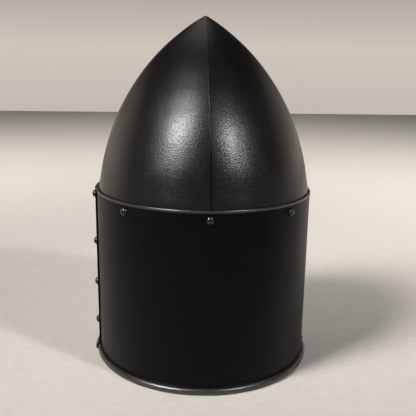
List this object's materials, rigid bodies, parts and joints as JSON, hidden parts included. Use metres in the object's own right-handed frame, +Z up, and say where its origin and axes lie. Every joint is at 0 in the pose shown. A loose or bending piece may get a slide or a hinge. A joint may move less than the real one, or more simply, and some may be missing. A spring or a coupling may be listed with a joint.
{
  "type": "knight helmet",
  "caption": "Closed steel helmet with a pointed ridged skull, riveted front and rear plates, eye slots, breath holes, rolled rim, liner and buckled chin strap.",
  "frame": {"origin": "middle of the helmet's plan, on the surface it stands on", "axes": "+Z up to the point of the skull, +Y out of the face, +X to the wearer's right"},
  "size_m": [0.2215, 0.2486, 0.3361],
  "materials": {
    "paint": "satin black paint, fine orange peel",
    "rivet": "semi-gloss black paint, edges a little worn",
    "wire": "plain drawn wire",
    "bare_steel": "plain cut steel",
    "leather": "vegetable-tanned, waxed",
    "linen": "undyed linen canvas",
    "strap_leather": "dark brown, waxed edges",
    "buckle_brass": "cast and filed, dulled"
  },
  "bodies": {
    "shell": {"skull_left": "paint", "skull_right": "paint", "rear_plate": "paint", "face_plate": "paint", "nasal_bar": "paint", "ocular_bar_left": "paint", "ocular_bar_right": "paint", "rivets_rear_row": "rivet", "rivets_front_row": "rivet", "rivet_pivot_left": "rivet", "rivet_pivot_right": "rivet", "rivets_seam_left": "rivet", "rivets_seam_right": "rivet", "cross_rivets": "rivet", "rim_wire_rear": "wire", "rim_wire_front": "wire", "liner_washers": "bare_steel", "liner_band": "leather", "liner_lappets": "linen", "crown_pad": "linen"},
    "strap_left": {"strap_left": "strap_leather"},
    "strap_right": {"strap_right": "strap_leather"},
    "keeper": {"strap_keeper": "strap_leather"},
    "buckle": {"buckle_frame": "buckle_brass"},
    "prong": {"buckle_prong": "buckle_brass"}
  },
  "joints": [
    {"name": "strap_left_swing", "type": "hinge", "parent": "shell", "child": "strap_left", "pos_m": [-0.0979, 0, 0.1615], "axis": [1, 0, 0], "range_deg": [-24, 24]},
    {"name": "strap_right_swing", "type": "hinge", "parent": "shell", "child": "strap_right", "pos_m": [0.0979, 0, 0.1615], "axis": [1, 0, 0], "range_deg": [-24, 24]},
    {"name": "buckle_turn", "type": "hinge", "parent": "strap_left", "child": "buckle", "pos_m": [-0.07275, 0, 0.062], "axis": [0, 1, 0], "range_deg": [-30, 25]},
    {"name": "prong_lift", "type": "hinge", "parent": "buckle", "child": "prong", "pos_m": [-0.07275, 0, 0.062], "axis": [0, 1, 0], "range_deg": [0, 80]},
    {"name": "keeper_slide", "type": "slide", "parent": "strap_left", "child": "keeper", "axis": [0, 0, 1], "range_m": [0, 0.01]}
  ]
}
